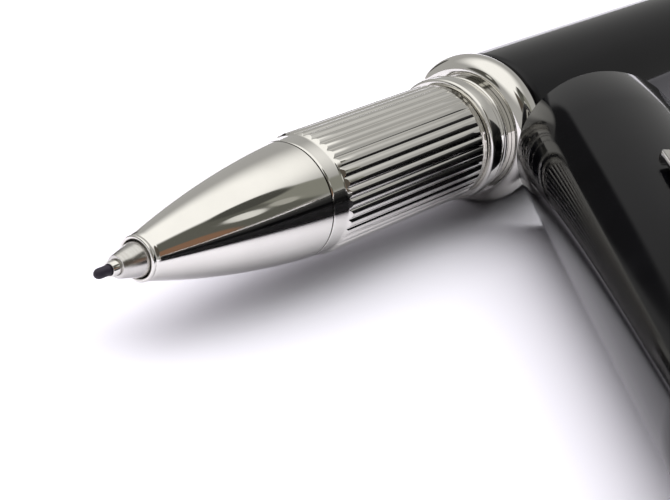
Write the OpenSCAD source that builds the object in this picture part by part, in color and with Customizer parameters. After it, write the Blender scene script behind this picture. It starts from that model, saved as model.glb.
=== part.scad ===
// Fineliner pen with a ribbed metal grip, lying uncapped beside its cap.
// X runs along the pen from the writing tip to the tail, Z is up, millimetres.
// The origin is on the pen's axis, in the middle of the bead that the cap fits over.

/* [Writing tip] */
// Diameter of the fibre tip
tip_d = 0.85; // [0.6:0.05:1]
// Length of the fibre tip outside its ferrule
tip_out = 1.45; // [1:0.05:2]
// Outer diameter of the ferrule round the fibre
ferrule_d = 1.22; // [1.15:0.01:1.4]
// Length of the ferrule outside the refill nose
ferrule_out = 0.75; // [0.4:0.05:0.8]
// Length of the ferrule
ferrule_len = 6; // [3:0.5:8]

/* [Refill] */
// Diameter of the flat front of the refill nose
refill_nose_front_d = 1.84; // [1.7:0.02:2.2]
// Diameter of the refill nose behind its cone
refill_nose_d = 3; // [2.8:0.02:3.02]
// Length of the cone on the refill nose
refill_nose_cone = 2.3; // [2.2:0.1:4]
// Length of the refill nose outside the nose cone
refill_nose_out = 2.1; // [1.5:0.1:2.5]
// Diameter of the holder that carries the refill nose
holder_d = 4.4; // [4:0.1:4.8]
// Length of the narrow front of the holder
holder_len = 6; // [5:0.1:7]
// Depth of the refill nose in the holder
holder_socket = 3; // [2:0.1:4]
// Diameter of the refill tube
refill_d = 6.1; // [5.9:0.05:6.3]
// Wall of the refill tube
refill_wall = 0.25; // [0.2:0.05:0.4]
// Length of the refill from the fibre's end to the rear stub
refill_len = 110.25; // [108:0.25:112]
// Width of the flanges on the holder and the rear plug
refill_flange = 1.4; // [1:0.1:2]
// Length of the holder and the rear plug inside the tube
refill_plug_len = 5; // [3:0.5:8]
// Diameter of the rear stub that the spring sits on
stub_d = 3.8; // [3:0.1:4]
// Length of the rear stub
stub_len = 4.7; // [3:0.1:6]
// Depth of the fibre in the ink reservoir
fibre_in_reservoir = 6; // [2:0.5:10]

/* [Nose cone] */
// Diameter of the opening at the front of the nose cone
aperture_d = 3.12; // [3.1:0.02:3.3]
// Radius of the rolled lip round the opening
lip_round = 0.16; // [0.1:0.01:0.25]
// Length from the front of the lip to the start of the curved cone
lip_len = 0.5; // [0.45:0.01:0.8]
// Depth of the fine line behind the lip
lip_line = 0.07; // [0.03:0.01:0.1]
// Length of the nose cone up to the seam
nose_len = 17.5; // [16:0.1:20]
// Diameter of the nose cone at the seam
nose_rear_d = 10.04; // [9.8:0.02:10.4]
// Height of the nose cone's curve over a straight cone
nose_bulge = 0.44; // [0.3:0.01:0.5]
// Length of the nose cone's spigot inside the grip
nose_spigot = 4; // [3:0.1:6]
// Distance from the front of the lip to the refill's holder
holder_seat = 4; // [3.8:0.1:5]

/* [Grip section] */
// Diameter of the grip over its ribs
grip_d = 10.6; // [10.54:0.02:10.8]
// Length of the grip
grip_len = 21.55; // [18:0.05:26]
// Length of the plain band in front of the ribs
band_len = 1.9; // [1.5:0.1:3]
// Diameter of the plain band where the ribs start, and of the rim behind them
band_d = 10.22; // [10.1:0.02:10.26]
// Number of ribs round the grip
rib_n = 36; // [30:1:36]
// Radius of a rib's round top
rib_r = 0.6; // [0.56:0.01:0.64]
// Diameter of the grip in the grooves between the ribs
groove_d = 10.3; // [10.28:0.01:10.4]
// Length of the slope at each end of the ribs
rib_lead = 0.4; // [0.2:0.05:0.8]
// Width of the plain rim behind the ribs
rib_rim = 0.5; // [0.3:0.1:1]
// Depth of the chamfers along the seams
seam_chamfer = 0.08; // [0.04:0.01:0.12]
// Thickness of the dark washer between grip and collar
washer_t = 0.2; // [0.15:0.05:0.8]
// Diameter of the dark washer
washer_d = 9.9; // [9.6:0.1:10.4]
// Diameter of the bead that the cap fits over
bead_d = 11.3; // [11.1:0.05:11.4]
// Width of the bead
bead_w = 1.6; // [1.4:0.1:2]
// Radius of the bead's edges
bead_round = 0.3; // [0.2:0.05:0.4]
// Diameter of the neck behind the bead
neck_d = 10.6; // [10.4:0.1:10.8]
// Length of the neck between the bead and the barrel
neck_len = 1.8; // [1.7:0.05:3]
// Thickness of the wire ring in the neck
snap_wire = 0.4; // [0.3:0.05:0.5]
// Diameter of the threaded core tube
core_d = 8.2; // [8:0.05:8.3]
// Length of thread on the core inside the barrel
thread_len = 8.5; // [7:0.1:12]

/* [Barrel] */
// Diameter of the half-round ring at the barrel's mouth
ring_d = 13.9; // [13.6:0.05:14.4]
// Width of the half-round ring
ring_w = 3.4; // [3:0.05:5]
// Diameter of the bush's flange in front of the ring
flange_d = 11.3; // [11:0.05:11.6]
// Thickness of the bush's flange
flange_t = 0.5; // [0.4:0.05:0.8]
// Diameter of the bush inside the barrel
bush_d = 10.2; // [9.8:0.05:10.4]
// Length of the bush inside the barrel tube
bush_in_tube = 13; // [8:0.5:20]
// Diameter of the barrel at the ring
barrel_front_d = 13; // [12:0.05:13.2]
// Diameter of the barrel at the tail ring
barrel_rear_d = 11.6; // [11.5:0.05:12.2]
// Height of the barrel's curve over a straight taper
barrel_bulge = 0.05; // [0:0.05:0.3]
// Length of the barrel tube
barrel_len = 60; // [57:0.1:64]
// Bore of the barrel tube
barrel_bore_d = 8.6; // [8.4:0.05:9]

/* [Tail] */
// Width of the half-round tail ring
tail_ring_w = 3.2; // [2.5:0.1:4]
// Diameter of the tail post that the cap can be pushed on
post_d = 11.4; // [11.2:0.05:11.4]
// Length of the straight part of the tail post
post_len = 10; // [8:0.1:14]
// Height of the domed end of the tail
tail_dome = 4.8; // [3:0.1:6]
// Length of the tail's spigot in the barrel tube
tail_spigot = 6; // [4:0.1:8]
// Least wall between the spring seat and the tail's dome
tail_wall = 1.5; // [1:0.1:2]
// Bore of the tail for the refill and its spring
tail_bore_d = 6.4; // [6.3:0.05:6.8]
// Diameter of the spring's wire
spring_wire = 0.5; // [0.3:0.05:0.5]
// Diameter of the spring over its wire
spring_d = 5.6; // [5.2:0.05:5.8]
// Number of turns in the spring
spring_turns = 9; // [6:1:10]
// Length of the spring with the pen screwed together
spring_len = 14.5; // [12:0.1:15]
// Thickness of the spring seat
seat_t = 1.4; // [1:0.1:2]
// Length of the peg on the spring seat
seat_peg = 2.5; // [1:0.1:4]

/* [Cap] */
// Diameter of the cap at its mouth
cap_d = 15.2; // [15:0.05:15.6]
// How much slimmer the cap is at its top
cap_taper = 0.6; // [0.3:0.05:0.9]
// Length of the straight band at the cap's mouth, before the taper
cap_band = 7; // [4:0.1:10]
// Wall of the cap shell
cap_wall = 1.2; // [1.1:0.05:1.3]
// Bore of the snap sleeve in the cap's mouth
mouth_bore_d = 11.6; // [11.5:0.05:11.7]
// Wall of the snap sleeve
sleeve_wall = 0.9; // [0.7:0.05:1]
// Length of the snap sleeve
sleeve_len = 12; // [8:0.5:16]
// Depth of the snap sleeve behind the cap's edge
sleeve_depth = 0.6; // [0.3:0.1:1]
// Length of the inner cap
liner_len = 20; // [14:0.5:22]
// Wall and floor thickness of the inner cap
liner_wall = 0.9; // [0.6:0.05:1]
// Room between the closed pen's tip and the inner cap's floor
tip_room = 1.95; // [1:0.05:4]
// Thickness of the cap shell's end wall
cap_end = 1.8; // [1.2:0.1:3]
// Height of the clip ring
clip_ring_h = 4.8; // [4.6:0.1:6]
// Step from the cap's mouth band down to the clip ring
ring_step = 0.15; // [0.05:0.05:0.3]
// Length of the crown
crown_len = 6.7; // [5.5:0.1:9]
// Step from the clip ring down to the crown
crown_step = 0.3; // [0.15:0.05:0.5]
// Height of the crown's dome
crown_dome = 4.2; // [2:0.1:5]
// Diameter of the crown screw
screw_d = 3; // [2.5:0.1:3.4]
// Diameter of the crown screw's head
screw_head_d = 5.2; // [4.6:0.1:6]
// Thickness of the crown screw's head
screw_head_t = 0.8; // [0.5:0.1:1]
// Length of the crown screw inside the crown
screw_in_crown = 3; // [2:0.1:4]

/* [Clip] */
// Width of the clip
clip_w = 3.2; // [2.6:0.1:3.6]
// Thickness of the clip's arm
clip_t = 0.8; // [0.6:0.05:1]
// Length of the clip's arm from its pin to its end
clip_len = 33; // [26:0.5:34]
// Height of the clip's arm over the cap
clip_rise = 0.65; // [0.4:0.05:0.9]
// Length of the foot at the clip's end
clip_foot = 2.2; // [1.5:0.1:3]
// Diameter of the clip's pin
pin_d = 0.8; // [0.6:0.05:1]
// Length of the clip's pin
pin_len = 5.6; // [5:0.1:6]
// Depth of the clip's pin under the surface of the mouth band
pin_depth = 1.2; // [1.1:0.05:1.4]
// Distance from the front of the clip ring to the pin
pin_u = 1.6; // [1.5:0.05:1.8]
// Length of the clip's tail behind its pin
clip_tail = 2.4; // [2.2:0.1:2.6]
// Distance from the pin's axis to the underside of the clip's tail
tail_under = 1; // [0.9:0.05:1.1]
// Room under the clip's tail for it to swing
tail_room = 0.45; // [0.4:0.05:0.6]
// Depth of the pocket for the clip spring under that room
spring_pocket = 1.6; // [1.2:0.1:1.8]
// Diameter of the clip spring's wire
clip_spring_wire = 0.22; // [0.15:0.01:0.25]
// Diameter of the clip spring
clip_spring_d = 1.5; // [1.3:0.05:1.7]
// Number of turns in the clip spring
clip_spring_turns = 3; // [2:1:4]

/* [Where the cap lies] */
// Angle between the cap's axis and the pen's axis
cap_angle = 45.5; // [30:0.5:80]
// Distance of the cap's mouth behind the bead, along the pen
cap_x = 7.75; // [7:0.05:20]
// Gap between the cap's rim and the pen beside it, seen from above
cap_gap = 0.75; // [0.7:0.05:6]

/* [Clearances] */
// Radial gap between pieces that are pressed or glued together
fit_gap = 0.03; // [0.01:0.01:0.05]
// Radial gap between the thread on the core and the bush
thread_gap = 0.1; // [0.05:0.01:0.15]
// Radial gap round the refill inside the pen
refill_gap = 0.2; // [0.15:0.01:0.25]
// Gap between end faces that meet
face_gap = 0.05; // [0.02:0.01:0.1]
// Gap beside the clip in its slot and under its foot
clip_gap = 0.15; // [0.1:0.01:0.2]
// Radial gap between the clip and its pin
pin_gap = 0.05; // [0.03:0.01:0.08]

/* [Hidden] */
$fn = 96;

// Steps along a curved outline and round a rolled edge
curve_steps = 18;
edge_steps = 8;
// Sides of a rib and of the small round pieces
small_sides = 24;
// Rings along one turn of a spring, and sides of its wire
turn_rings = 12;
wire_sides = 6;
// Overlap of a cutter past the face that it cuts
cut = 0.1;

// Stations along the pen
x_bead_rear = bead_w / 2;
x_bead_front = -bead_w / 2;
x_grip_rear = x_bead_front - washer_t;
x_seam = x_grip_rear - grip_len;
x_lip = x_seam - nose_len;
x_refill_nose = x_lip - refill_nose_out;
x_ferrule = x_refill_nose - ferrule_out;
x_tip = x_ferrule - tip_out;
x_flange = x_bead_rear + neck_len;
x_barrel = x_flange + ring_w;
x_tail_ring = x_barrel + barrel_len;
x_post = x_tail_ring + tail_ring_w;

// Stations along the refill
x_refill_end = x_tip + refill_len;
x_stub = x_refill_end - stub_len;
x_tube_rear = x_stub - refill_flange;
x_seat_face = x_stub + spring_len;
x_tail_floor = x_seat_face + seat_t;
x_holder = x_lip + holder_seat;
x_holder_flange = x_holder + holder_len;
x_tube_front = x_holder_flange + refill_flange;
x_reservoir = x_tube_front + refill_plug_len + face_gap;

// The tail is long enough for its post and for the spring behind the refill
x_dome = max(x_post + post_len, x_tail_floor + tail_wall);

// Diameters of the cap's pieces that follow from the cap's own
cap_top_d = cap_d - cap_taper;
cap_bore_d = cap_d - 2 * cap_wall;
clip_ring_d = cap_d - 2 * ring_step;
crown_d = clip_ring_d - 2 * crown_step;
pin_r = cap_d / 2 - pin_depth;

// Inner diameters that follow from what goes inside
fibre_hole_d = tip_d + 2 * fit_gap;
refill_bore_d = refill_d + 2 * refill_gap;
holder_bore_d = holder_d + 2 * refill_gap;
core_hole_d = core_d + 2 * fit_gap;
bush_bore_d = core_d + 2 * thread_gap;
tube_bore_d = refill_d - 2 * refill_wall;
plug_d = tube_bore_d - 2 * fit_gap;
lip_d = aperture_d + 4 * lip_round;

// Outside of the snap sleeve, whose bore fits the pen's bead
sleeve_d = mouth_bore_d + 2 * sleeve_wall;

// Stations along the cap, counted from its mouth
u_tip = x_flange - x_tip;
u_floor = u_tip + tip_room;
u_liner_end = u_floor + liner_wall;
u_head = u_liner_end + face_gap;
u_wall = u_head + screw_head_t + face_gap;
u_clip_ring = u_wall + cap_end;
u_crown = u_clip_ring + clip_ring_h;
u_cap_end = u_crown + crown_len;
u_pin = u_clip_ring + pin_u;
liner_d = cap_bore_d - 2 * fit_gap;

// The clip's slot and the space under its tail
slot_w = clip_w + 2 * clip_gap;
slot_floor_r = pin_r - tail_under - tail_room;
clip_spring_foot_r = slot_floor_r - spring_pocket;
u_clip_spring = u_pin + clip_tail - clip_spring_d / 2 - clip_gap;
clip_under_r = cap_d / 2 + clip_rise;

// The pen lies on its two rings and the cap on its mouth band, with its rim beside the neck, the
// rising front of the half-round ring or, further back, the ring's full height
rest_r = ring_d / 2;
ring_base_r = flange_d / 2 + fit_gap;
x_rim = cap_x - cap_d / 2 * sin(cap_angle);
ring_ahead = max(0, 1 - (x_rim - x_flange) / (ring_w / 2));
ring_rise = (rest_r - ring_base_r) * sqrt(max(0, 1 - ring_ahead * ring_ahead));
beside_r = x_rim < x_flange ? neck_d / 2 : ring_base_r + ring_rise;
cap_y = -(beside_r + cap_gap + cap_d / 2 * cos(cap_angle));
cap_z = cap_d / 2 - rest_r;

resin = [0.03, 0.03, 0.035];
plate = [0.8, 0.79, 0.77];
brass = [0.78, 0.62, 0.3];
steel = [0.62, 0.62, 0.63];
fibre = [0.18, 0.16, 0.2];
dark = [0.08, 0.08, 0.09];
white = [0.85, 0.85, 0.83];

// Height of a curved outline over its straight line, at a share of its length
function bow(share, height) = 4 * height * share * (1 - share);

// Points of a curve from one radius to another along X, swelling by a height
function bowed(x0, x1, r0, r1, height) = [
  for (i = [0:curve_steps])
    let (share = i / curve_steps)
      [r0 + (r1 - r0) * share + bow(share, height), x0 + (x1 - x0) * share]
];

// Points of an elliptic arc in an outline, between two angles
function arc(r0, x0, rise, run, from, to, steps) = [
  for (i = [0:steps])
    let (angle = from + (to - from) * i / steps)
      [r0 + rise * cos(angle), x0 + run * sin(angle)]
];

// Points of a ring's half-round outside
function half_round(x0, width, base_r, outer_r) =
  arc(base_r, x0 + width / 2, outer_r - base_r, width / 2, -90, 90, curve_steps);

// Points of one ring of a wire wound into a spring along Z
function wire_ring(angle, mean_r, wire_r, height) = [
  for (side = [0:wire_sides - 1])
    let (turn = 360 * side / wire_sides, r = mean_r + wire_r * cos(turn))
      [r * cos(angle), r * sin(angle), height + wire_r * sin(turn)]
];

// Turns an outline of [radius, x] points round the pen's axis
module turned(outline) {
  rotate([0, 90, 0]) rotate_extrude() polygon(outline);
}

// A straight tube or, with no bore, a rod
module tube(x0, x1, bore_d, outer_d) {
  turned([[bore_d / 2, x0], [outer_d / 2, x0], [outer_d / 2, x1], [bore_d / 2, x1]]);
}

// One unbroken wire wound along Z
module coil(turns, mean_r, wire_r, length) {
  rings = turns * turn_rings;
  rise = length - 2 * wire_r;
  points = [
    for (i = [0:rings])
      each wire_ring(360 * i / turn_rings, mean_r, wire_r, wire_r + rise * i / rings)
  ];
  sides = [
    for (i = [0:rings - 1], side = [0:wire_sides - 1])
      let (
        a = i * wire_sides + side,
        b = i * wire_sides + (side + 1) % wire_sides
      )
        each [[a, a + wire_sides, b], [b, a + wire_sides, b + wire_sides]]
  ];
  last = rings * wire_sides;
  front = [for (side = [1:wire_sides - 2]) [0, side, side + 1]];
  back = [for (side = [1:wire_sides - 2]) [last, last + side + 1, last + side]];
  polyhedron(points = points, faces = concat(sides, front, back));
}

// Puts a piece modelled from its mouth along X where the cap lies
module as_cap() {
  translate([cap_x, cap_y, cap_z]) rotate([0, 0, 180 + cap_angle]) children();
}

module fibre_tip() {
  color(fibre) turned(concat(
    [[0, x_reservoir + fibre_in_reservoir]],
    arc(0, x_tip + tip_d / 2, tip_d / 2, tip_d / 2, -90, 0, edge_steps),
    [[tip_d / 2, x_reservoir + fibre_in_reservoir]]
  ));
}

module tip_ferrule() {
  color(plate) tube(x_ferrule, x_ferrule + ferrule_len, fibre_hole_d, ferrule_d);
}

module refill_nose() {
  hole_r = ferrule_d / 2 + fit_gap;
  x_rear = x_holder + holder_socket;
  color(steel) turned([
    [hole_r, x_refill_nose],
    [refill_nose_front_d / 2, x_refill_nose],
    [refill_nose_d / 2, x_refill_nose + refill_nose_cone],
    [refill_nose_d / 2, x_rear],
    [hole_r, x_rear]
  ]);
}

module refill_holder() {
  socket_r = refill_nose_d / 2 + fit_gap;
  x_socket = x_holder + holder_socket + face_gap;
  color(white) turned([
    [socket_r, x_holder],
    [holder_d / 2, x_holder],
    [holder_d / 2, x_holder_flange],
    [refill_d / 2, x_holder_flange],
    [refill_d / 2, x_tube_front],
    [plug_d / 2, x_tube_front],
    [plug_d / 2, x_tube_front + refill_plug_len],
    [fibre_hole_d / 2, x_tube_front + refill_plug_len],
    [fibre_hole_d / 2, x_socket],
    [socket_r, x_socket]
  ]);
}

module refill_tube() {
  color(steel) tube(x_tube_front, x_tube_rear, tube_bore_d, refill_d);
}

module ink_reservoir() {
  x_rear = x_tube_rear - refill_plug_len - face_gap;
  x_hole = x_reservoir + fibre_in_reservoir + face_gap;
  color(fibre) turned([
    [fibre_hole_d / 2, x_reservoir],
    [plug_d / 2, x_reservoir],
    [plug_d / 2, x_rear],
    [0, x_rear],
    [0, x_hole],
    [fibre_hole_d / 2, x_hole]
  ]);
}

module refill_plug() {
  color(white) turned([
    [0, x_tube_rear - refill_plug_len],
    [plug_d / 2, x_tube_rear - refill_plug_len],
    [plug_d / 2, x_tube_rear],
    [refill_d / 2, x_tube_rear],
    [refill_d / 2, x_stub],
    [stub_d / 2, x_stub],
    [stub_d / 2, x_refill_end],
    [0, x_refill_end]
  ]);
}

module nose_cone() {
  x_holder_seat = x_holder - face_gap;
  x_bore = x_holder_flange - face_gap;
  x_line = x_lip + (lip_len + 2 * lip_round) / 2;
  x_spigot = x_seam + nose_spigot;
  color(plate) turned(concat(
    arc(aperture_d / 2 + lip_round, x_lip + lip_round, lip_round, lip_round, -180, 0, edge_steps),
    [[lip_d / 2 - lip_line, x_line]],
    bowed(x_lip + lip_len, x_seam - seam_chamfer, lip_d / 2, nose_rear_d / 2, nose_bulge),
    [
      [nose_rear_d / 2 - seam_chamfer, x_seam],
      [core_d / 2, x_seam],
      [core_d / 2, x_spigot],
      [refill_bore_d / 2, x_spigot],
      [refill_bore_d / 2, x_bore],
      [holder_bore_d / 2, x_bore],
      [holder_bore_d / 2, x_holder_seat],
      [aperture_d / 2, x_holder_seat]
    ]
  ));
}

// The outside of the grip as it is turned, before its ribs are cut
module grip_blank() {
  x_front = x_seam + face_gap;
  x_ribs = x_seam + band_len;
  x_rim = x_grip_rear - rib_rim;
  run = rib_lead * (grip_d + 2 * cut - band_d) / (grip_d - band_d);
  turned([
    [core_hole_d / 2, x_front],
    [nose_rear_d / 2 - seam_chamfer, x_front],
    [nose_rear_d / 2, x_front + seam_chamfer],
    [band_d / 2, x_ribs],
    [grip_d / 2 + cut, x_ribs + run],
    [grip_d / 2 + cut, x_rim - run],
    [band_d / 2, x_rim],
    [band_d / 2, x_grip_rear - seam_chamfer],
    [band_d / 2 - seam_chamfer, x_grip_rear],
    [core_hole_d / 2, x_grip_rear]
  ]);
}

module grip_sleeve() {
  length = grip_len + 2 * cut;
  color(plate) intersection() {
    grip_blank();
    translate([x_seam - cut, 0, 0]) rotate([0, 90, 0]) {
      cylinder(d = groove_d, h = length);
      for (i = [0:rib_n - 1]) rotate([0, 0, 360 * i / rib_n])
        translate([grip_d / 2 - rib_r, 0, 0]) cylinder(r = rib_r, h = length, $fn = small_sides);
    }
  }
}

module section_core() {
  x_front = x_seam + nose_spigot + face_gap;
  color(brass) tube(x_front, x_flange + thread_len, refill_bore_d, core_d);
}

module grip_washer() {
  color(dark) tube(x_grip_rear, x_bead_front, core_hole_d, washer_d);
}

module collar_ring() {
  x_rear = x_flange - face_gap;
  x_snap = x_bead_rear + neck_len / 2;
  snap_half = snap_wire / 2 + fit_gap;
  edge_r = bead_d / 2 - bead_round;
  color(plate) turned(concat(
    [[core_hole_d / 2, x_bead_front]],
    arc(edge_r, x_bead_front + bead_round, bead_round, bead_round, -90, 0, edge_steps),
    arc(edge_r, x_bead_rear - bead_round, bead_round, bead_round, 0, 90, edge_steps),
    [
      [neck_d / 2, x_bead_rear],
      [neck_d / 2, x_snap - snap_half],
      [neck_d / 2 - snap_half, x_snap - snap_half],
      [neck_d / 2 - snap_half, x_snap + snap_half],
      [neck_d / 2, x_snap + snap_half],
      [neck_d / 2, x_rear],
      [core_hole_d / 2, x_rear]
    ]
  ));
}

module snap_ring() {
  x_snap = x_bead_rear + neck_len / 2;
  color(plate) rotate([0, 90, 0]) rotate_extrude()
    translate([neck_d / 2, x_snap]) circle(d = snap_wire, $fn = small_sides);
}

module barrel_ring() {
  bore_r = bush_d / 2 + fit_gap;
  x_step = x_flange + flange_t + fit_gap;
  color(plate) turned(concat(
    half_round(x_flange, ring_w, ring_base_r, ring_d / 2),
    [[bore_r, x_barrel], [bore_r, x_step], [ring_base_r, x_step]]
  ));
}

module barrel_bush() {
  x_rear = x_barrel + bush_in_tube;
  color(plate) turned([
    [bush_bore_d / 2, x_flange],
    [flange_d / 2, x_flange],
    [flange_d / 2, x_flange + flange_t],
    [bush_d / 2, x_flange + flange_t],
    [bush_d / 2, x_rear],
    [bush_bore_d / 2, x_rear]
  ]);
}

module barrel_tube() {
  bush_hole_r = bush_d / 2 + fit_gap;
  x_bush_rear = x_barrel + bush_in_tube + face_gap;
  color(resin) turned(concat(
    [[bush_hole_r, x_barrel]],
    bowed(x_barrel, x_tail_ring, barrel_front_d / 2, barrel_rear_d / 2, barrel_bulge),
    [
      [barrel_bore_d / 2, x_tail_ring],
      [barrel_bore_d / 2, x_bush_rear],
      [bush_hole_r, x_bush_rear]
    ]
  ));
}

module tail_ring() {
  color(plate) turned(concat(
    half_round(x_tail_ring, tail_ring_w, post_d / 2, ring_d / 2),
    [[barrel_bore_d / 2, x_post], [barrel_bore_d / 2, x_tail_ring]]
  ));
}

module tail_plug() {
  x_front = x_tail_ring - tail_spigot;
  spigot_d = barrel_bore_d - 2 * fit_gap;
  color(resin) turned(concat(
    [
      [tail_bore_d / 2, x_front],
      [spigot_d / 2, x_front],
      [spigot_d / 2, x_post],
      [post_d / 2, x_post]
    ],
    arc(0, x_dome, post_d / 2, tail_dome, 0, 90, curve_steps),
    [[0, x_tail_floor], [tail_bore_d / 2, x_tail_floor]]
  ));
}

module spring_seat() {
  seat_d = tail_bore_d - 2 * fit_gap;
  color(white) turned([
    [0, x_seat_face - seat_peg],
    [stub_d / 2, x_seat_face - seat_peg],
    [stub_d / 2, x_seat_face],
    [seat_d / 2, x_seat_face],
    [seat_d / 2, x_tail_floor],
    [0, x_tail_floor]
  ]);
}

module refill_spring() {
  color(steel) translate([x_stub + face_gap, 0, 0]) rotate([0, 90, 0])
    coil(spring_turns, (spring_d - spring_wire) / 2, spring_wire / 2, spring_len - 2 * face_gap);
}

module cap_shell() {
  sleeve_hole_r = sleeve_d / 2 + fit_gap;
  u_sleeve_end = sleeve_depth + sleeve_len;
  screw_hole_r = screw_d / 2 + fit_gap;
  color(resin) as_cap() turned([
    [sleeve_hole_r, 0],
    [cap_d / 2 - seam_chamfer, 0],
    [cap_d / 2, seam_chamfer],
    [cap_d / 2, cap_band],
    [cap_top_d / 2, u_clip_ring],
    [screw_hole_r, u_clip_ring],
    [screw_hole_r, u_wall],
    [cap_bore_d / 2, u_wall],
    [cap_bore_d / 2, u_sleeve_end],
    [sleeve_hole_r, u_sleeve_end]
  ]);
}

module snap_sleeve() {
  color(plate) as_cap() tube(sleeve_depth, sleeve_depth + sleeve_len, mouth_bore_d, sleeve_d);
}

module inner_cap() {
  inner_r = liner_d / 2 - liner_wall;
  u_front = u_liner_end - liner_len;
  color(dark) as_cap() turned([
    [inner_r, u_front],
    [liner_d / 2, u_front],
    [liner_d / 2, u_liner_end],
    [0, u_liner_end],
    [0, u_floor],
    [inner_r, u_floor]
  ]);
}

module clip_ring() {
  pocket_r = clip_spring_d / 2 + clip_gap;
  pin_hole_d = pin_d + 2 * fit_gap;
  color(plate) as_cap() difference() {
    tube(u_clip_ring, u_crown, screw_d + 2 * fit_gap, clip_ring_d);
    translate([u_clip_ring - cut, -slot_w / 2, slot_floor_r])
      cube([pin_u + clip_tail + 2 * clip_gap + cut, slot_w, clip_ring_d]);
    translate([u_pin, -pin_len / 2, pin_r]) rotate([-90, 0, 0])
      cylinder(d = pin_hole_d, h = pin_len, $fn = small_sides);
    translate([u_clip_spring, 0, clip_spring_foot_r])
      cylinder(r = pocket_r, h = spring_pocket + cut, $fn = small_sides);
  }
}

// Side outline of the clip, in distance from the cap's mouth and from its axis
function clip_outline() =
  let (
    u_end = u_pin - clip_len,
    u_front = u_clip_ring + clip_gap,
    u_rear = u_pin + clip_tail,
    r_top = clip_under_r + clip_t,
    r_foot = cap_d / 2 + clip_gap,
    r_tail = pin_r - tail_under,
    r_rear = clip_ring_d / 2 - clip_gap
  ) [
    [u_end, r_foot],
    [u_end + clip_foot / 2, r_foot],
    [u_end + clip_foot, clip_under_r],
    [u_front - clip_gap, clip_under_r],
    [u_front, clip_under_r - clip_gap],
    [u_front, pin_r],
    [u_pin, r_tail],
    [u_rear, r_tail],
    [u_rear, r_rear],
    [u_pin, r_top],
    [u_end + clip_t, r_top],
    [u_end, r_top - clip_t]
  ];

module clip() {
  hole_d = pin_d + 2 * pin_gap;
  color(plate) as_cap() difference() {
    translate([0, clip_w / 2, 0]) rotate([90, 0, 0]) linear_extrude(clip_w) polygon(clip_outline());
    translate([u_pin, -clip_w, pin_r]) rotate([-90, 0, 0])
      cylinder(d = hole_d, h = 2 * clip_w, $fn = small_sides);
  }
}

module clip_pin() {
  color(steel) as_cap() translate([u_pin, -pin_len / 2 + face_gap, pin_r]) rotate([-90, 0, 0])
    cylinder(d = pin_d, h = pin_len - 2 * face_gap, $fn = small_sides);
}

module clip_spring() {
  length = pin_r - tail_under - clip_spring_foot_r - 2 * face_gap;
  mean_r = (clip_spring_d - clip_spring_wire) / 2;
  color(steel) as_cap() translate([u_clip_spring, 0, clip_spring_foot_r + face_gap])
    coil(clip_spring_turns, mean_r, clip_spring_wire / 2, length);
}

module cap_crown() {
  hole_r = screw_d / 2 + fit_gap;
  u_dome = u_cap_end - crown_dome;
  u_hole = u_crown + screw_in_crown + face_gap;
  color(resin) as_cap() turned(concat(
    [[hole_r, u_crown], [crown_d / 2, u_crown]],
    arc(0, u_dome, crown_d / 2, crown_dome, 0, 90, curve_steps),
    [[0, u_hole], [hole_r, u_hole]]
  ));
}

module crown_screw() {
  u_shank = u_head + screw_head_t;
  u_shank_end = u_crown + screw_in_crown;
  color(brass) as_cap() turned([
    [0, u_head],
    [screw_head_d / 2, u_head],
    [screw_head_d / 2, u_shank],
    [screw_d / 2, u_shank],
    [screw_d / 2, u_shank_end],
    [0, u_shank_end]
  ]);
}

fibre_tip();
tip_ferrule();
refill_nose();
refill_holder();
refill_tube();
ink_reservoir();
refill_plug();
nose_cone();
grip_sleeve();
section_core();
grip_washer();
collar_ring();
snap_ring();
barrel_ring();
barrel_bush();
barrel_tube();
tail_ring();
tail_plug();
spring_seat();
refill_spring();
cap_shell();
snap_sleeve();
inner_cap();
clip_ring();
clip();
clip_pin();
clip_spring();
cap_crown();
crown_screw();
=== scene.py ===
import bmesh
import bpy
from math import atan2, cos, pi, radians, sin, sqrt
from mathutils import Matrix, Vector


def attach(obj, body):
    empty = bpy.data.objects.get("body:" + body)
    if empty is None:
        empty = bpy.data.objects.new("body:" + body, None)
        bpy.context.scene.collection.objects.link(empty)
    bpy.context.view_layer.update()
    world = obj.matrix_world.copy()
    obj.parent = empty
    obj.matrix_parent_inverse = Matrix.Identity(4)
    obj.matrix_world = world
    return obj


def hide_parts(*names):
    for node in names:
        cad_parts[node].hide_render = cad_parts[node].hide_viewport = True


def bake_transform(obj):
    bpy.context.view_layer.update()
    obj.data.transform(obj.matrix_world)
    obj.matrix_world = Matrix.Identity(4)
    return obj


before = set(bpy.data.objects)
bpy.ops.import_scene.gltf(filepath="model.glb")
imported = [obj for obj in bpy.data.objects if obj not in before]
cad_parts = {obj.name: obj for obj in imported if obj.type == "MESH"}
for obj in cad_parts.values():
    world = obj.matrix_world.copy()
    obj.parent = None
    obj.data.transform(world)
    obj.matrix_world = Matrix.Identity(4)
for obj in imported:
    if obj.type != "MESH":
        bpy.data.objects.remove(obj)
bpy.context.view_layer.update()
scene = bpy.context.scene
scene.view_settings.view_transform = "Standard"
mm = 0.001
print("frame loaded:", len(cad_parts), "nodes")


# A written sRGB colour as linear red, green, blue and alpha
def linear(hexCode):
    parts = [int(hexCode[i:i + 2], 16) / 255 for i in (1, 3, 5)]
    return tuple(c / 12.92 if c <= 0.04045 else ((c + 0.055) / 1.055) ** 2.4 for c in parts) + (1,)


# inputs hold plain values, or a (node, output) pair for a link
def addNode(tree, kind, inputs=None, **settings):
    node = tree.nodes.new(kind)
    for name, value in settings.items():
        setattr(node, name, value)
    for name, value in (inputs or {}).items():
        if isinstance(value, tuple) and isinstance(value[0], bpy.types.Node):
            tree.links.new(value[0].outputs[value[1]], node.inputs[name])
        else:
            node.inputs[name].default_value = value
    return node


def calc(tree, operation, *values):
    return addNode(tree, "ShaderNodeMath", dict(enumerate(values)), operation=operation)


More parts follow.
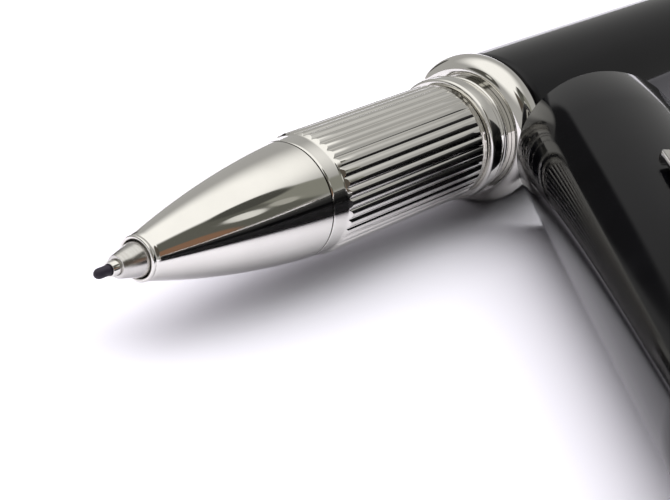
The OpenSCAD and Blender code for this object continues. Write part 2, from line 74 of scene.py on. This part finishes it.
def vectorCalc(tree, operation, *values):
    return addNode(tree, "ShaderNodeVectorMath", dict(enumerate(values)), operation=operation)


def scaledColour(tree, hexCode, level):
    return addNode(tree, "ShaderNodeVectorMath", {0: linear(hexCode)[:3], "Scale": level}, operation="SCALE")


# Factor 0 gives the first colour, and 1 the second
def mixColours(tree, factor, first, second):
    return addNode(tree, "ShaderNodeMix", {"Factor": factor, "A": first, "B": second}, data_type="RGBA")


def mapRange(tree, value, low, high, fromLow=0.0, fromHigh=1.0, kind="LINEAR"):
    limits = {"Value": value, "From Min": fromLow, "From Max": fromHigh, "To Min": low, "To Max": high}
    return addNode(tree, "ShaderNodeMapRange", limits, interpolation_type=kind)


# Noise with features of about so many millimetres
def noise(tree, vector, size, detail):
    return addNode(tree, "ShaderNodeTexNoise", {"Vector": vector, "Scale": 1 / (size * mm), "Detail": detail})


def stretched(tree, place, scale):
    return addNode(tree, "ShaderNodeMapping", {"Vector": (place, "Object"), "Scale": scale})


def newMaterial(name):
    material = bpy.data.materials.new(name)
    material.use_nodes = True
    tree = material.node_tree
    tree.nodes.clear()
    shader = addNode(tree, "ShaderNodeBsdfPrincipled")
    addNode(tree, "ShaderNodeOutputMaterial", {"Surface": (shader, 0)})
    place = addNode(tree, "ShaderNodeTexCoord")
    return material, tree, shader, place


# Links colour and roughness to the shader, with relief from a height to a depth in millimetres
def dress(tree, shader, tone, rough, height, strength, depth, metallic=0.0):
    bump = addNode(tree, "ShaderNodeBump", {"Height": height, "Strength": strength, "Distance": depth * mm})
    tree.links.new(tone.outputs["Result"], shader.inputs["Base Color"])
    tree.links.new(rough.outputs[0], shader.inputs["Roughness"])
    tree.links.new(bump.outputs[0], shader.inputs["Normal"])
    shader.inputs["Metallic"].default_value = metallic


# Nickel-chrome plating on turned brass, polished: a cool mirror with faint haze and wiping marks
plated, tree, shader, place = newMaterial("polished_chrome_plate")
haze = noise(tree, (place, "Object"), size=4, detail=4)
lines = noise(tree, (stretched(tree, place, (0.15, 1, 1)), 0), size=0.5, detail=3)
tone = mixColours(tree, (haze, "Fac"), linear("#d6d4cf"), linear("#e6e4df"))
# painted shade and dirt in the seam between nose and grip, within reach of the pen's axis
seamShadeAndDirt = {"at": -22.49, "half": 0.075, "reach": 5.3, "colour": "#14130f"}
along = addNode(tree, "ShaderNodeSeparateXYZ", {0: (place, "Object")})
across = vectorCalc(tree, "MULTIPLY", (place, "Object"), (0, 1, 1))
fromAxis = vectorCalc(tree, "LENGTH", (across, 0))
near = calc(tree, "LESS_THAN", (fromAxis, "Value"), seamShadeAndDirt["reach"] * mm)
atSeam = calc(tree, "COMPARE", (along, "X"), seamShadeAndDirt["at"] * mm, seamShadeAndDirt["half"] * mm)
shadedSeam = calc(tree, "MULTIPLY", (near, 0), (atSeam, 0))
# darkens the seam's faces with the painted shade colour
tone = mixColours(tree, (shadedSeam, 0), (tone, "Result"), linear(seamShadeAndDirt["colour"]))
rough = mapRange(tree, (lines, "Fac"), low=0.035, high=0.085)
dress(tree, shader, tone, rough, (lines, "Fac"), strength=0.03, depth=0.01, metallic=1.0)

# Cast black resin, lathe turned and buffed: deep gloss with faint finger haze
resin, tree, shader, place = newMaterial("buffed_black_resin")
haze = noise(tree, (place, "Object"), size=6, detail=5)
buff = noise(tree, (place, "Object"), size=0.6, detail=2)
tone = mixColours(tree, (haze, "Fac"), linear("#060608"), linear("#0d0d11"))
rough = mapRange(tree, (haze, "Fac"), low=0.05, high=0.11, fromLow=0.3, fromHigh=0.7)
dress(tree, shader, tone, rough, (buff, "Fac"), strength=0.02, depth=0.02)
shader.inputs["Specular IOR Level"].default_value = 0.2

# Drawn steel, turned: tool lines run round the axis
steel, tree, shader, place = newMaterial("turned_steel")
lines = noise(tree, (stretched(tree, place, (1, 0.05, 0.05)), 0), size=0.12, detail=4)
tone = mixColours(tree, (lines, "Fac"), linear("#b6b4b0"), linear("#d4d2ce"))
rough = mapRange(tree, (lines, "Fac"), low=0.14, high=0.32)
dress(tree, shader, tone, rough, (lines, "Fac"), strength=0.1, depth=0.02, metallic=1.0)

# Free-cutting brass, turned: warm, with close tool rings and a little tarnish
brass, tree, shader, place = newMaterial("turned_brass")
lines = noise(tree, (stretched(tree, place, (1, 0.05, 0.05)), 0), size=0.15, detail=3)
dull = noise(tree, (place, "Object"), size=3, detail=4)
tone = mixColours(tree, (dull, "Fac"), linear("#c9a258"), linear("#e2c27c"))
rough = mapRange(tree, (lines, "Fac"), low=0.16, high=0.36)
dress(tree, shader, tone, rough, (lines, "Fac"), strength=0.12, depth=0.02, metallic=1.0)

# Moulded polypropylene: milky white with a soft sheen and fine mould grain
whitePlastic, tree, shader, place = newMaterial("moulded_white_polypropylene")
grain = noise(tree, (place, "Object"), size=0.25, detail=3)
tone = mixColours(tree, (grain, "Fac"), linear("#e6e6e2"), linear("#f0f0ed"))
rough = mapRange(tree, (grain, "Fac"), low=0.34, high=0.5)
dress(tree, shader, tone, rough, (grain, "Fac"), strength=0.1, depth=0.02)

# Moulded dark nylon: satin black with fine mould grain
darkPlastic, tree, shader, place = newMaterial("moulded_dark_nylon")
grain = noise(tree, (place, "Object"), size=0.3, detail=3)
tone = mixColours(tree, (grain, "Fac"), linear("#151518"), linear("#222226"))
rough = mapRange(tree, (grain, "Fac"), low=0.35, high=0.55)
dress(tree, shader, tone, rough, (grain, "Fac"), strength=0.1, depth=0.02)

# Bonded polyester fibre soaked with ink: purple-black, matt, with strands along the tip
fibre, tree, shader, place = newMaterial("inked_polyester_fibre")
hairs = noise(tree, (stretched(tree, place, (0.12, 1, 1)), 0), size=0.07, detail=3)
tone = mixColours(tree, (hairs, "Fac"), linear("#17131c"), linear("#3d3645"))
rough = mapRange(tree, (hairs, "Fac"), low=0.45, high=0.75)
dress(tree, shader, tone, rough, (hairs, "Fac"), strength=0.35, depth=0.03)
print("materials:", len(bpy.data.materials))

weldDistance = 0.0004 * mm


# A place given in millimetres
def shift(x, y, z):
    return Matrix.Translation(Vector((x, y, z)) * mm)


# Welds a mesh and turns all its faces outwards
def closeMesh(bm):
    bmesh.ops.remove_doubles(bm, verts=bm.verts, dist=weldDistance)
    bmesh.ops.recalc_face_normals(bm, faces=bm.faces)


# Turns a finished bmesh into a piece that stands for its node; a piece without a body is left without a
# parent
def finishPiece(bm, name, node, material, body, sharp=32):
    closeMesh(bm)
    mesh = bpy.data.meshes.new(name)
    bm.to_mesh(mesh)
    bm.free()
    mesh.materials.append(material)
    mesh.shade_smooth()
    mesh.set_sharp_from_angle(angle=radians(sharp))
    piece = bpy.data.objects.new(name, mesh)
    scene.collection.objects.link(piece)
    if body:
        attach(piece, body)
    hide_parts(node)
    return piece


# Rounds the outer corners that are sharper than an angle, by a size in millimetres
def easeCorners(bm, angle, size, segments):
    corners = [e for e in bm.edges
               if e.is_manifold and e.is_convex and e.calc_face_angle() > radians(angle)]
    bmesh.ops.bevel(bm, geom=corners, offset=size * mm, offset_type="OFFSET", affect="EDGES",
                    segments=segments, profile=0.5, material=-1, clamp_overlap=True)


# Spins a closed outline of (x, radius) points in mm round the pen's axis, and eases its outer corners
def turnOutline(outline, steps=144, ease=0.0, place=None):
    bm = bmesh.new()
    verts = [bm.verts.new((x * mm, 0, r * mm)) for x, r in outline]
    for a, b in zip(verts, verts[1:] + verts[:1]):
        bm.edges.new((a, b))
    bmesh.ops.spin(bm, geom=bm.verts[:] + bm.edges[:], cent=(0, 0, 0), axis=(1, 0, 0), angle=2 * pi,
                   steps=steps, use_merge=True)
    closeMesh(bm)
    if ease:
        easeCorners(bm, angle=32, size=ease, segments=2)
    if place:
        bmesh.ops.transform(bm, matrix=place, verts=bm.verts)
    return bm


# A run of points from one radius to another, swelling over a straight line
def swell(x0, x1, r0, r1, count, height=0):
    shares = [i / count for i in range(count + 1)]
    return [(x0 + (x1 - x0) * t, r0 + (r1 - r0) * t + 4 * height * t * (1 - t)) for t in shares]


# A run of points on an ellipse; 0 degrees is straight out from the axis, 90 towards the tail
def curve(x0, r0, run, rise, first, last, count):
    angles = [radians(first + (last - first) * i / count) for i in range(count + 1)]
    return [(x0 + run * sin(a), r0 + rise * cos(a)) for a in angles]


# The outside of a half-round ring
def halfRound(front, width, base, outer, count):
    return curve(front + width / 2, base, width / 2, outer - base, -90, 90, count)


# The outline of a plain tube
def tube(front, rear, outer, bore):
    return [(front, bore), (front, outer), (rear, outer), (rear, bore)]


# Moves the outside points of a stretch to the radius that radiusAt gives
def reshape(bm, front, rear, bore, radiusAt):
    leastWall = 0.1
    for v in bm.verts:
        x, radius = v.co.x / mm, sqrt(v.co.y ** 2 + v.co.z ** 2) / mm
        if front < x < rear and radius > bore + leastWall:
            share = radiusAt(v.co, x, radius) / radius
            v.co.y *= share
            v.co.z *= share


# Writing tip: an ink-soaked fibre in a bright ferrule, in the refill's steel nose
tip = {"front": -44.35, "round": 0.5, "radius": 0.425, "rear": -17.6}
outline = [(tip["rear"], 0)]
outline += curve(tip["front"] + tip["round"], 0, tip["round"], tip["radius"], -90, 0, count=10)
outline += [(tip["rear"], tip["radius"])]
finishPiece(turnOutline(outline, steps=48), "fibreTip", "fibre_tip", fibre, "refill")

ferrule = {"front": -42.9, "rear": -36.9, "outer": 0.61, "bore": 0.455}
outline = tube(ferrule["front"], ferrule["rear"], ferrule["outer"], ferrule["bore"])
finishPiece(turnOutline(outline, steps=64, ease=0.05), "tipFerrule", "tip_ferrule", plated, "refill")

refillNose = {"front": -42.15, "face": 0.92, "coneEnd": -39.85, "outer": 1.5, "rear": -33.05, "bore": 0.64}
outline = [(refillNose["front"], refillNose["bore"]), (refillNose["front"], refillNose["face"]),
           (refillNose["coneEnd"], refillNose["outer"]), (refillNose["rear"], refillNose["outer"]),
           (refillNose["rear"], refillNose["bore"])]
finishPiece(turnOutline(outline, steps=96, ease=0.06), "refillNose", "refill_nose", steel, "refill")

# Nose cone: rolled lip, fine line, slim ogive up to the seam, and a spigot inside the grip
nose = {"lip": -40.05, "aperture": 1.56, "roll": 0.16, "lineAt": -39.64, "line": 0.07, "body": -39.55,
        "seam": -22.55, "rear": 5.02, "bow": 0.44, "chamfer": 0.02, "spigot": 4.1, "spigotEnd": -18.55,
        "bore": 3.25, "boreEnd": -30.1, "throat": 2.4, "throatEnd": -36.1}
lipOuter = nose["aperture"] + 2 * nose["roll"]
rollCentre = nose["lip"] + nose["roll"], nose["aperture"] + nose["roll"]
outline = curve(*rollCentre, nose["roll"], nose["roll"], -180, 0, count=14)
outline += [(nose["lineAt"], lipOuter - nose["line"])]
outline += swell(nose["body"], nose["seam"] - nose["chamfer"], lipOuter, nose["rear"], count=56,
                 height=nose["bow"])
outline += [(nose["seam"], nose["rear"] - nose["chamfer"]), (nose["seam"], nose["spigot"]),
            (nose["spigotEnd"], nose["spigot"]), (nose["spigotEnd"], nose["bore"]),
            (nose["boreEnd"], nose["bore"]), (nose["boreEnd"], nose["throat"]),
            (nose["throatEnd"], nose["throat"]), (nose["throatEnd"], nose["aperture"])]
finishPiece(turnOutline(outline, steps=192), "noseCone", "nose_cone", plated, "section")
print("nose done")

# Grip: plain band, then round ribs with sloped ends, then a plain rim
grip = {"front": -22.43, "bandFrom": -22.13, "bandFromRadius": 5.031, "ribStart": -20.65, "ribEnd": -1.5,
        "rear": -1.0, "seam": 5.02, "band": 5.11, "crown": 5.3, "groove": 5.15, "ribRadius": 0.6, "ribs": 36,
        "lead": 0.4, "leadRows": 14, "chamfer": 0.02, "bore": 4.13, "columns": 24}
leadFront, leadRear = grip["ribStart"] + grip["lead"], grip["ribEnd"] - grip["lead"]
outline = [(grip["front"], grip["bore"]), (grip["front"], grip["seam"] - grip["chamfer"]),
           (grip["front"] + grip["chamfer"], grip["seam"])]
outline += swell(grip["bandFrom"], grip["ribStart"], grip["bandFromRadius"], grip["band"], count=6)
outline += swell(grip["ribStart"], leadFront, grip["band"], grip["crown"], count=grip["leadRows"])[1:]
outline += swell(leadFront, leadRear, grip["crown"], grip["crown"], count=8)[1:]
outline += swell(leadRear, grip["ribEnd"], grip["crown"], grip["band"], count=grip["leadRows"])[1:]
outline += [(grip["rear"] - grip["chamfer"], grip["band"]), (grip["rear"], grip["band"] - grip["chamfer"]),
            (grip["rear"], grip["bore"])]
ribPitch = 2 * pi / grip["ribs"]
ribCentre = grip["crown"] - grip["ribRadius"]


def ribbed(point, x, radius):
    # angle from the nearest rib's middle
    swing = (atan2(point.y, point.z) + ribPitch / 2) % ribPitch - ribPitch / 2
    half = ribCentre * sin(swing)
    top = ribCentre * cos(swing) + sqrt(max(0, grip["ribRadius"] ** 2 - half ** 2))
    return min(radius, max(grip["groove"], top))


bm = turnOutline(outline, steps=grip["ribs"] * grip["columns"])
reshape(bm, grip["ribStart"], grip["ribEnd"], grip["bore"], ribbed)
finishPiece(bm, "gripSleeve", "grip_sleeve", plated, "section", sharp=50)
print("grip done")

# Collar: bead that the cap snaps over, neck with a sprung wire ring in a groove
collar = {"front": -0.8, "rear": 0.8, "bead": 5.65, "edge": 0.3, "neck": 5.3, "end": 2.55, "bore": 4.13}
wire = {"at": 1.7, "radius": 0.2, "sunk": 0.11, "grooveRoom": 0.03}
grooveHalf = wire["radius"] + wire["grooveRoom"]
grooveFront, grooveRear = wire["at"] - grooveHalf, wire["at"] + grooveHalf
grooveFloor = collar["neck"] - grooveHalf
edgeBase = collar["bead"] - collar["edge"]
outline = [(collar["front"], collar["bore"])]
outline += curve(collar["front"] + collar["edge"], edgeBase, collar["edge"], collar["edge"], -90, 0, count=8)
outline += curve(collar["rear"] - collar["edge"], edgeBase, collar["edge"], collar["edge"], 0, 90, count=8)
outline += [(collar["rear"], collar["neck"]), (grooveFront, collar["neck"]), (grooveFront, grooveFloor),
            (grooveRear, grooveFloor), (grooveRear, collar["neck"]), (collar["end"], collar["neck"]),
            (collar["end"], collar["bore"])]
finishPiece(turnOutline(outline, steps=192), "collarRing", "collar_ring", plated, "section")
wireCentre = wire["at"], collar["neck"] - wire["sunk"]
outline = curve(*wireCentre, wire["radius"], wire["radius"], -180, 165, count=23)
finishPiece(turnOutline(outline, steps=144), "snapRing", "snap_ring", plated, "section", sharp=60)

# Core: its right-handed thread, a millimetre to a turn, shows when the section is unscrewed
core = {"front": -18.5, "rear": 11.1, "bore": 3.25, "outer": 4.1, "threadFrom": 2.7, "threadTo": 10.9,
        "pitch": 1.0, "depth": 0.32, "runOut": 0.6, "rows": 82}
outline = [(core["front"], core["bore"]), (core["front"], core["outer"])]
outline += swell(core["threadFrom"], core["threadTo"], core["outer"], core["outer"], count=core["rows"])
outline += [(core["rear"], core["outer"] - core["depth"]), (core["rear"], core["bore"])]


def threaded(point, x, radius):
    phase = (x / core["pitch"] - atan2(point.z, point.y) / (2 * pi)) % 1
    fade = min(1, (x - core["threadFrom"]) / core["runOut"], (core["threadTo"] - x) / core["runOut"])
    return core["outer"] - core["depth"] * fade * abs(2 * phase - 1)


bm = turnOutline(outline, steps=120)
reshape(bm, core["threadFrom"], core["threadTo"], core["bore"], threaded)
finishPiece(bm, "sectionCore", "section_core", brass, "section", sharp=60)

# Half-round rings at the barrel's two ends
ring = {"front": 2.6, "width": 3.4, "outer": 6.95, "recess": 5.68, "bore": 5.13, "step": 3.13, "rear": 6.0}
outline = halfRound(ring["front"], ring["width"], ring["recess"], ring["outer"], count=40)
outline += [(ring["rear"], ring["bore"]), (ring["step"], ring["bore"]), (ring["step"], ring["recess"])]
finishPiece(turnOutline(outline, steps=192), "barrelRing", "barrel_ring", plated, "barrel")

tailRing = {"front": 66.0, "width": 3.2, "outer": 6.95, "base": 5.7, "bore": 4.3}
outline = halfRound(tailRing["front"], tailRing["width"], tailRing["base"], tailRing["outer"], count=36)
outline += [(tailRing["front"] + tailRing["width"], tailRing["bore"]), (tailRing["front"], tailRing["bore"])]
finishPiece(turnOutline(outline, steps=192), "tailRing", "tail_ring", plated, "barrel")

# Barrel tube and tail
barrel = {"front": 6.0, "rear": 66.0, "frontRadius": 6.5, "rearRadius": 5.8, "bow": 0.05, "bore": 4.3,
          "bushHole": 5.13, "bushEnd": 19.05}
outline = [(barrel["front"], barrel["bushHole"])]
outline += swell(barrel["front"], barrel["rear"], barrel["frontRadius"], barrel["rearRadius"], count=64,
                 height=barrel["bow"])
outline += [(barrel["rear"], barrel["bore"]), (barrel["bushEnd"], barrel["bore"]),
            (barrel["bushEnd"], barrel["bushHole"])]
finishPiece(turnOutline(outline, steps=192, ease=0.06), "barrelTube", "barrel_tube", resin, "barrel")

tail = {"front": 60.0, "spigot": 4.27, "post": 69.2, "postRadius": 5.7, "dome": 79.2, "domeHeight": 4.8,
        "bore": 3.2, "floor": 77.1}
outline = [(tail["front"], tail["bore"]), (tail["front"], tail["spigot"]), (tail["post"], tail["spigot"]),
           (tail["post"], tail["postRadius"])]
outline += curve(tail["dome"], 0, tail["domeHeight"], tail["postRadius"], 0, 90, count=40)
outline += [(tail["floor"], 0), (tail["floor"], tail["bore"])]
finishPiece(turnOutline(outline, steps=192), "tailPlug", "tail_plug", resin, "barrel")
print("barrel done")

# The cap's pieces are turned along X from the mouth, then laid beside the pen
lay = {"x": 7.75, "y": -11.3769107, "z": 0.65, "angle": 45.5}
capPlace = shift(lay["x"], lay["y"], lay["z"]) @ Matrix.Rotation(radians(180 + lay["angle"]), 4, "Z")
cap = {"mouth": 7.6, "top": 7.3, "band": 7.0, "chamfer": 0.08, "bore": 6.4, "sleeveHole": 6.73,
       "sleeveEnd": 12.6, "wall": 50.7, "end": 52.5, "screwHole": 1.53}
outline = [(0, cap["sleeveHole"]), (0, cap["mouth"] - cap["chamfer"]), (cap["chamfer"], cap["mouth"])]
outline += swell(cap["band"], cap["end"], cap["mouth"], cap["top"], count=12)
outline += [(cap["end"], cap["screwHole"]), (cap["wall"], cap["screwHole"]), (cap["wall"], cap["bore"]),
            (cap["sleeveEnd"], cap["bore"]), (cap["sleeveEnd"], cap["sleeveHole"])]
bm = turnOutline(outline, steps=192, ease=0.04, place=capPlace)
finishPiece(bm, "capShell", "cap_shell", resin, "cap")

sleeve = {"front": 0.6, "rear": 12.6, "outer": 6.7, "bore": 5.8}
outline = tube(sleeve["front"], sleeve["rear"], sleeve["outer"], sleeve["bore"])
bm = turnOutline(outline, steps=144, ease=0.12, place=capPlace)
finishPiece(bm, "snapSleeve", "snap_sleeve", plated, "cap")

crown = {"front": 57.3, "base": 7.15, "domeFrom": 59.8, "dome": 4.2, "hole": 1.53, "holeEnd": 60.35}
outline = [(crown["front"], crown["hole"]), (crown["front"], crown["base"])]
outline += curve(crown["domeFrom"], 0, crown["dome"], crown["base"], 0, 90, count=40)
outline += [(crown["holeEnd"], 0), (crown["holeEnd"], crown["hole"])]
bm = turnOutline(outline, steps=192, ease=0.05, place=capPlace)
finishPiece(bm, "capCrown", "cap_crown", resin, "cap")

# Clip: a bent bar with a hole for its pin; the side outline is in mm from the mouth and the axis
clip = {"width": 3.2, "end": 21.1, "foot": 7.75, "footEnd": 22.2, "underFrom": 23.3, "under": 8.25,
        "top": 9.05, "slope": 0.8, "front": 52.65, "corner": 0.15, "pin": (54.1, 6.4), "pinHole": 0.45,
        "tail": 5.4, "rear": 56.5, "rearTop": 7.3, "ease": 0.22}
pinAlong, pinHeight = clip["pin"]
side = [(clip["end"], clip["foot"]), (clip["footEnd"], clip["foot"]), (clip["underFrom"], clip["under"]),
        (clip["front"] - clip["corner"], clip["under"]), (clip["front"], clip["under"] - clip["corner"]),
        (clip["front"], pinHeight), (pinAlong, clip["tail"]), (clip["rear"], clip["tail"]),
        (clip["rear"], clip["rearTop"]), (pinAlong, clip["top"]), (clip["end"] + clip["slope"], clip["top"]),
        (clip["end"], clip["top"] - clip["slope"])]
bm = bmesh.new()
loop = [bm.verts.new((u * mm, -clip["width"] / 2 * mm, r * mm)) for u, r in side]
for a, b in zip(loop, loop[1:] + loop[:1]):
    bm.edges.new((a, b))
holeAt = shift(pinAlong, -clip["width"] / 2, pinHeight) @ Matrix.Rotation(pi / 2, 4, "X")
bmesh.ops.create_circle(bm, cap_ends=False, segments=24, radius=clip["pinHole"] * mm, matrix=holeAt)
bmesh.ops.triangle_fill(bm, use_beauty=True, edges=bm.edges[:])
grown = bmesh.ops.extrude_face_region(bm, geom=bm.faces[:], use_keep_orig=True)
farSide = [g for g in grown["geom"] if isinstance(g, bmesh.types.BMVert)]
bmesh.ops.translate(bm, vec=(0, clip["width"] * mm, 0), verts=farSide)
bmesh.ops.recalc_face_normals(bm, faces=bm.faces)
easeCorners(bm, angle=25, size=clip["ease"], segments=4)
bmesh.ops.transform(bm, matrix=capPlace, verts=bm.verts)
finishPiece(bm, "clip", "clip", plated, "clip", sharp=40)
print("cap done")


# A wire wound along X in mm, from one ring swept in a helix; its two ends are closed
def windSpring(start, length, turns, meanRadius, wireRadius, perTurn=28):
    bm = bmesh.new()
    at = shift(start + wireRadius, 0, meanRadius) @ Matrix.Rotation(pi / 2, 4, "X")
    bmesh.ops.create_circle(bm, cap_ends=True, segments=12, radius=wireRadius * mm, matrix=at)
    steps = turns * perTurn
    advance = (length - 2 * wireRadius) * mm / steps
    bmesh.ops.spin(bm, geom=bm.faces[:], cent=(0, 0, 0), axis=(1, 0, 0), dvec=(advance, 0, 0),
                   angle=2 * pi * turns, steps=steps, use_merge=False)
    return bm


# Refill spring: pressed between the tail and the refill
coil = {"front": 61.25, "length": 14.4, "turns": 9, "meanRadius": 2.55, "wire": 0.25}
bm = windSpring(coil["front"], coil["length"], coil["turns"], coil["meanRadius"], coil["wire"])
piece = finishPiece(bm, "refillSpring", "refill_spring", steel, None, sharp=60)
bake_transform(piece)

# Clip spring: stands on the clip ring and is pressed by the clip's tail
clipCoil = {"at": 55.6, "foot": 3.4, "length": 1.95, "turns": 3, "meanRadius": 0.64, "wire": 0.11}
bm = windSpring(0, clipCoil["length"], clipCoil["turns"], clipCoil["meanRadius"], clipCoil["wire"])
foot = capPlace @ shift(clipCoil["at"], 0, clipCoil["foot"])
bmesh.ops.transform(bm, matrix=foot @ Matrix.Rotation(-pi / 2, 4, "Y"), verts=bm.verts)
piece = finishPiece(bm, "clipSpring", "clip_spring", steel, None, sharp=60)
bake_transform(piece)
print("springs done")

# Pieces kept from the frame, with their own finishes
kept = {"refill_holder": whitePlastic, "refill_tube": steel, "ink_reservoir": fibre,
        "refill_plug": whitePlastic, "grip_washer": darkPlastic, "barrel_bush": plated,
        "spring_seat": whitePlastic, "inner_cap": darkPlastic, "clip_ring": plated,
        "clip_pin": steel, "crown_screw": brass}
for name, material in kept.items():
    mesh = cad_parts[name].data
    mesh.materials.clear()
    mesh.materials.append(material)

# Camera at the photograph's angle: long lens, a little roll
view = {"place": (-134.71, -89.573, 62.321), "right": (0.6313, -0.76972, 0.09451),
        "up": (0.2714, 0.33342, 0.90290), "lens": 102.09, "sensor": 36, "near": 0.005}
right, up = Vector(view["right"]).normalized(), Vector(view["up"]).normalized()
back = right.cross(up)
up = back.cross(right)
cameraData = bpy.data.cameras.new("camera")
cameraData.lens = view["lens"]
cameraData.sensor_width = view["sensor"]
cameraData.sensor_fit = "HORIZONTAL"
cameraData.clip_start = view["near"]
camera = bpy.data.objects.new("camera", cameraData)
scene.collection.objects.link(camera)
camera.matrix_world = shift(*view["place"]) @ Matrix((right, up, back)).transposed().to_4x4()
scene.camera = camera


# 1 for what the camera sees, straight or in a mirror, and 0 for light on its way to a matt surface
def seenOnly(tree):
    rays = addNode(tree, "ShaderNodeLightPath")
    mirrored = calc(tree, "MAXIMUM", (rays, "Is Glossy Ray"), (rays, "Is Transmission Ray"))
    straight = calc(tree, "LESS_THAN", (rays, "Diffuse Depth"), 0.5)  # no matt surface on the way
    mirrored = calc(tree, "MULTIPLY", (mirrored, 0), (straight, 0))
    seen = calc(tree, "MAXIMUM", (mirrored, 0), (rays, "Is Camera Ray"))
    return rays, seen


# Pale table: white to the eye and in reflections, whiter far away, with the part's own soft shadow
table = {"size": 3.0, "height": -6.95, "colour": "#f3f2f7", "seenLevel": 1.5, "farLevel": 2.6,
         "farFrom": 0.15, "farTo": 0.7, "bounceLevel": 0.4}
bm = bmesh.new()
bmesh.ops.create_grid(bm, x_segments=1, y_segments=1, size=table["size"] / 2)
bmesh.ops.translate(bm, vec=(0, 0, table["height"] * mm), verts=bm.verts)
mesh = bpy.data.meshes.new("table")
bm.to_mesh(mesh)
bm.free()
floor = bpy.data.objects.new("table", mesh)
scene.collection.objects.link(floor)
paper = bpy.data.materials.new("matt_white_table")
paper.use_nodes = True
tree = paper.node_tree
tree.nodes.clear()
rays, seen = seenOnly(tree)
place = addNode(tree, "ShaderNodeTexCoord")
distance = vectorCalc(tree, "LENGTH", (place, "Object"))
shown = mapRange(tree, (distance, "Value"), table["seenLevel"], table["farLevel"],
                 fromLow=table["farFrom"], fromHigh=table["farTo"])
level = mapRange(tree, (seen, 0), table["bounceLevel"], (shown, 0))
pale = scaledColour(tree, table["colour"], (level, 0))
matt = addNode(tree, "ShaderNodeBsdfDiffuse", {"Color": (pale, "Vector")})
addNode(tree, "ShaderNodeOutputMaterial", {"Surface": (matt, 0)})
mesh.materials.append(paper)

# Room: its light comes from above and behind the pen; mirrors show a ceiling, darker walls and patches
sky = {"axis": (0, 0.643, 0.766), "power": 2, "level": 1.61, "colour": "#f2eff4"}
room = {"ceiling": 1.25, "wall": 0.46, "wallTop": 30, "ceilingFrom": 60, "colour": "#fffefb",
        "background": "#ffffff"}
# azimuth and elevation of each patch, and half its width and height, in degrees
patches = [{"at": (-64, 35), "half": (22, 23), "colour": "#64645d"},
           {"at": (-47, 32), "half": (8, 17), "colour": "#8f8f86"},
           {"at": (-50, 49), "half": (10, 8), "colour": "#50504b"},
           {"at": (-96, 35), "half": (16, 24), "colour": "#5a544c"},
           {"at": (-76, 14), "half": (9, 14), "colour": "#8d6c57"},
           {"at": (-62, 33), "half": (3.5, 7), "colour": "#f0efea"},
           {"at": (-55, 30), "half": (2.5, 5), "colour": "#b4b3ab"},
           {"at": (69, 9), "half": (8, 10), "colour": "#454441"},
           {"at": (158, 26), "half": (17, 17), "colour": "#565550"},
           {"at": (163, 30), "half": (4, 6), "colour": "#d8d7d0"}]
patchEdge = {"inner": 0.7, "outer": 1.3}
world = bpy.data.worlds.new("room")
scene.world = world
world.use_nodes = True
tree = world.node_tree
tree.nodes.clear()
way = addNode(tree, "ShaderNodeTexCoord")
parts = addNode(tree, "ShaderNodeSeparateXYZ", {0: (way, "Generated")})
azimuth = calc(tree, "ARCTAN2", (parts, "Y"), (parts, "X"))
elevation = calc(tree, "ARCSINE", (parts, "Z"))
level = mapRange(tree, (elevation, 0), room["wall"], room["ceiling"], fromLow=radians(room["wallTop"]),
                 fromHigh=radians(room["ceilingFrom"]), kind="SMOOTHSTEP")
shade = (scaledColour(tree, room["colour"], (level, 0)), "Vector")
for patch in patches:
    squares = []
    for angle, middle, half in zip((azimuth, elevation), patch["at"], patch["half"]):
        offset = calc(tree, "SUBTRACT", (angle, 0), radians(middle))
        share = calc(tree, "DIVIDE", (offset, 0), radians(half))
        squares.append(calc(tree, "MULTIPLY", (share, 0), (share, 0)))
    away = calc(tree, "ADD", (squares[0], 0), (squares[1], 0))
    inside = mapRange(tree, (away, 0), 1.0, 0.0, fromLow=patchEdge["inner"], fromHigh=patchEdge["outer"],
                      kind="SMOOTHSTEP")
    shade = (mixColours(tree, (inside, 0), shade, linear(patch["colour"])), "Result")
rays, seen = seenOnly(tree)
white = mixColours(tree, (rays, "Is Camera Ray"), shade, linear(room["background"]))
towards = vectorCalc(tree, "DOT_PRODUCT", (way, "Generated"), Vector(sky["axis"]).normalized())
upper = calc(tree, "MAXIMUM", (towards, "Value"), 0.0)
level = calc(tree, "POWER", (upper, 0), sky["power"])
level = calc(tree, "MULTIPLY", (level, 0), sky["level"])
fill = addNode(tree, "ShaderNodeBackground", {"Color": linear(sky["colour"]), "Strength": (level, 0)})
look = addNode(tree, "ShaderNodeBackground", {"Color": (white, "Result"), "Strength": 1.0})
mixed = addNode(tree, "ShaderNodeMixShader", {"Fac": (seen, 0), 1: (fill, 0), 2: (look, 0)})
addNode(tree, "ShaderNodeOutputWorld", {"Surface": (mixed, 0)})

# Overhead soft lights
lampSize = 0.6
softLights = [{"place": (0.1, 0.1, 0.5), "energy": 0.93}, {"place": (0.3, -0.2, 0.5), "energy": 1.57}]
for softLight in softLights:
    lampData = bpy.data.lights.new("overhead", "AREA")
    lampData.shape = "SQUARE"
    lampData.size = lampSize
    lampData.energy = softLight["energy"]
    lamp = bpy.data.objects.new("overhead", lampData)
    lamp.location = softLight["place"]
    lamp.visible_glossy = False
    scene.collection.objects.link(lamp)
print("stage done")
